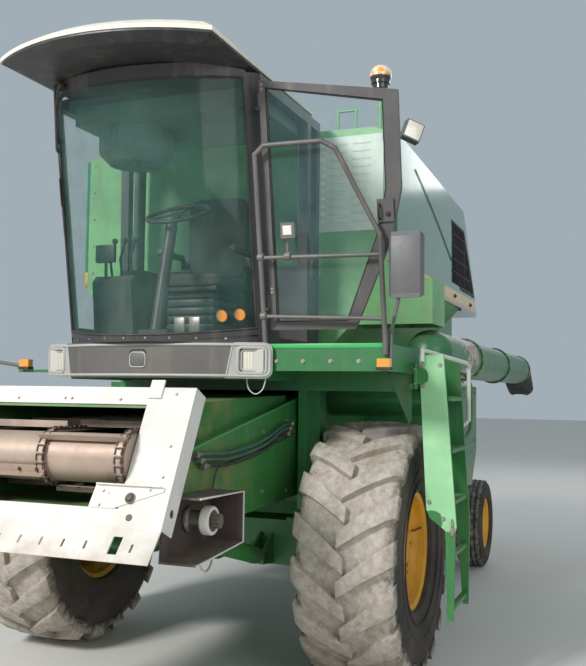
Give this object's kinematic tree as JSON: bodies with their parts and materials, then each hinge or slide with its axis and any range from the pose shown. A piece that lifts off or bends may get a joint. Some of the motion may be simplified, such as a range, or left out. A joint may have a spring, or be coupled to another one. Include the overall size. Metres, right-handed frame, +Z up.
{
  "type": "combine harvester",
  "caption": "Self-propelled combine harvester without header: feeder house raised, cab with open door, grain tank, folded unloading auger, lugged drive wheels and steered rear axle.",
  "frame": {"origin": "middle of the machine's length and width, on the ground", "axes": "+X to the machine's left, +Y to its rear, +Z up"},
  "size_m": [3.355, 7.2974, 3.9003],
  "materials": {
    "green_paint": "gloss, dusty",
    "light_green_paint": "satin, sun bleached",
    "grey_paint": "satin",
    "dark_paint": "satin",
    "tinted_glass": "clear, light green tint",
    "bleached_paint": "chalky, rust stained",
    "seat_fabric": "ribbed",
    "dark_plastic": "matt",
    "amber_plastic": "gloss",
    "tyre_rubber": "dusty",
    "yellow_paint": "satin",
    "bare_steel": "worn, rust film",
    "black_rubber": "matt"
  },
  "bodies": {
    "chassis": {"main_frame": "green_paint", "front_axle": "green_paint", "separator_body": "green_paint", "side_shields": "green_paint", "grain_tank": "light_green_paint", "filling_auger": "grey_paint", "side_panels": "green_paint", "engine_block": "grey_paint", "engine_hood": "green_paint", "air_screens": "dark_paint", "straw_hood": "green_paint", "straw_chopper": "green_paint", "cab_frame": "dark_paint", "windscreen": "tinted_glass", "cab_windows": "tinted_glass", "cab_roof": "bleached_paint", "roof_visor": "dark_paint", "light_bar": "grey_paint", "operator_seat": "seat_fabric", "steering_column": "dark_plastic", "control_console": "dark_plastic", "fan_housing": "dark_paint", "platform": "green_paint", "handrails": "grey_paint", "mirrors": "dark_paint", "lamps": "amber_plastic", "wipers": "dark_paint", "exhaust_stack": "grey_paint", "auger_elbow": "green_paint"},
    "front_left_wheel": {"front_left_tyre": "tyre_rubber", "front_left_rim": "yellow_paint"},
    "front_right_wheel": {"front_right_tyre": "tyre_rubber", "front_right_rim": "yellow_paint"},
    "swing_axle": {"rear_axle": "green_paint"},
    "left_steering": {"left_knuckle": "green_paint"},
    "right_steering": {"right_knuckle": "green_paint"},
    "track_rod": {"tie_rod": "grey_paint"},
    "rear_left_wheel": {"rear_left_tyre": "tyre_rubber", "rear_left_rim": "yellow_paint"},
    "rear_right_wheel": {"rear_right_tyre": "tyre_rubber", "rear_right_rim": "yellow_paint"},
    "feeder": {"feeder_house": "green_paint", "front_plate_frame": "bleached_paint", "conveyor": "bare_steel", "header_drive": "dark_paint"},
    "lift_cylinder_barrels": {"lift_barrels": "green_paint"},
    "lift_cylinder_rods": {"lift_rods": "bare_steel"},
    "door": {"cab_door": "dark_paint", "door_glass": "tinted_glass"},
    "swing_ladder": {"ladder": "light_green_paint", "ladder_rail": "bleached_paint"},
    "unloading_auger": {"unloading_tube": "green_paint", "auger_spout": "black_rubber"}
  },
  "joints": [
    {"name": "front_left_spin", "type": "hinge", "parent": "chassis", "child": "front_left_wheel", "pos_m": [1.119, -1.5815, 0.78], "axis": [1, 0, 0], "continuous": true},
    {"name": "front_right_spin", "type": "hinge", "parent": "chassis", "child": "front_right_wheel", "pos_m": [-1.119, -1.5815, 0.78], "axis": [1, 0, 0], "continuous": true},
    {"name": "rear_axle_swing", "type": "hinge", "parent": "chassis", "child": "swing_axle", "pos_m": [0, 2.2185, 0.6], "axis": [0, 1, 0], "range_deg": [-6, 6]},
    {"name": "steer_left", "type": "hinge", "parent": "swing_axle", "child": "left_steering", "pos_m": [0.85, 2.2185, 0.43], "axis": [0, 0, 1], "range_deg": [-30, 30]},
    {"name": "steer_right", "type": "hinge", "parent": "swing_axle", "child": "right_steering", "pos_m": [-0.85, 2.2185, 0.43], "axis": [0, 0, 1], "range_deg": [-30, 30]},
    {"name": "track_rod_pivot", "type": "hinge", "parent": "left_steering", "child": "track_rod", "pos_m": [0.85, 2.4185, 0.36], "axis": [0, 0, 1], "range_deg": [-30, 30]},
    {"name": "rear_left_spin", "type": "hinge", "parent": "left_steering", "child": "rear_left_wheel", "pos_m": [1.05, 2.2185, 0.43], "axis": [1, 0, 0], "continuous": true},
    {"name": "rear_right_spin", "type": "hinge", "parent": "right_steering", "child": "rear_right_wheel", "pos_m": [-1.05, 2.2185, 0.43], "axis": [1, 0, 0], "continuous": true},
    {"name": "feeder_lift", "type": "hinge", "parent": "chassis", "child": "feeder", "pos_m": [0, -1.4315, 1.408], "axis": [-1, 0, 0], "range_deg": [-18, 3]},
    {"name": "lift_cylinder_tilt", "type": "hinge", "parent": "chassis", "child": "lift_cylinder_barrels", "pos_m": [0, -1.8415, 0.715], "axis": [-1, 0, 0], "range_deg": [-25.2, 4.6]},
    {"name": "lift_cylinder_stroke", "type": "slide", "parent": "lift_cylinder_barrels", "child": "lift_cylinder_rods", "axis": [0, -0.9648, 0.2631], "range_m": [-0.2315, 0.0419]},
    {"name": "cab_door_hinge", "type": "hinge", "parent": "chassis", "child": "door", "pos_m": [0.716, -2.3695, 2.09], "axis": [0, -0.1685, 0.9857], "range_deg": [0, 90]},
    {"name": "ladder_swing", "type": "hinge", "parent": "chassis", "child": "swing_ladder", "pos_m": [1.438, -1.9335, 1.835], "axis": [0, 0, -1], "range_deg": [0, 90]},
    {"name": "auger_swing", "type": "hinge", "parent": "chassis", "child": "unloading_auger", "pos_m": [1.362, -1.2165, 2], "axis": [0, 0, -1], "range_deg": [0, 95]}
  ],
  "couplings": [
    {"joint": "steer_right", "follows": "steer_left", "ratio": 1},
    {"joint": "track_rod_pivot", "follows": "steer_left", "ratio": -1},
    {"joint": "lift_cylinder_tilt", "follows": "feeder_lift", "ratio": 1.372},
    {"joint": "lift_cylinder_stroke", "follows": "feeder_lift", "m_per_rad": 0.724}
  ]
}
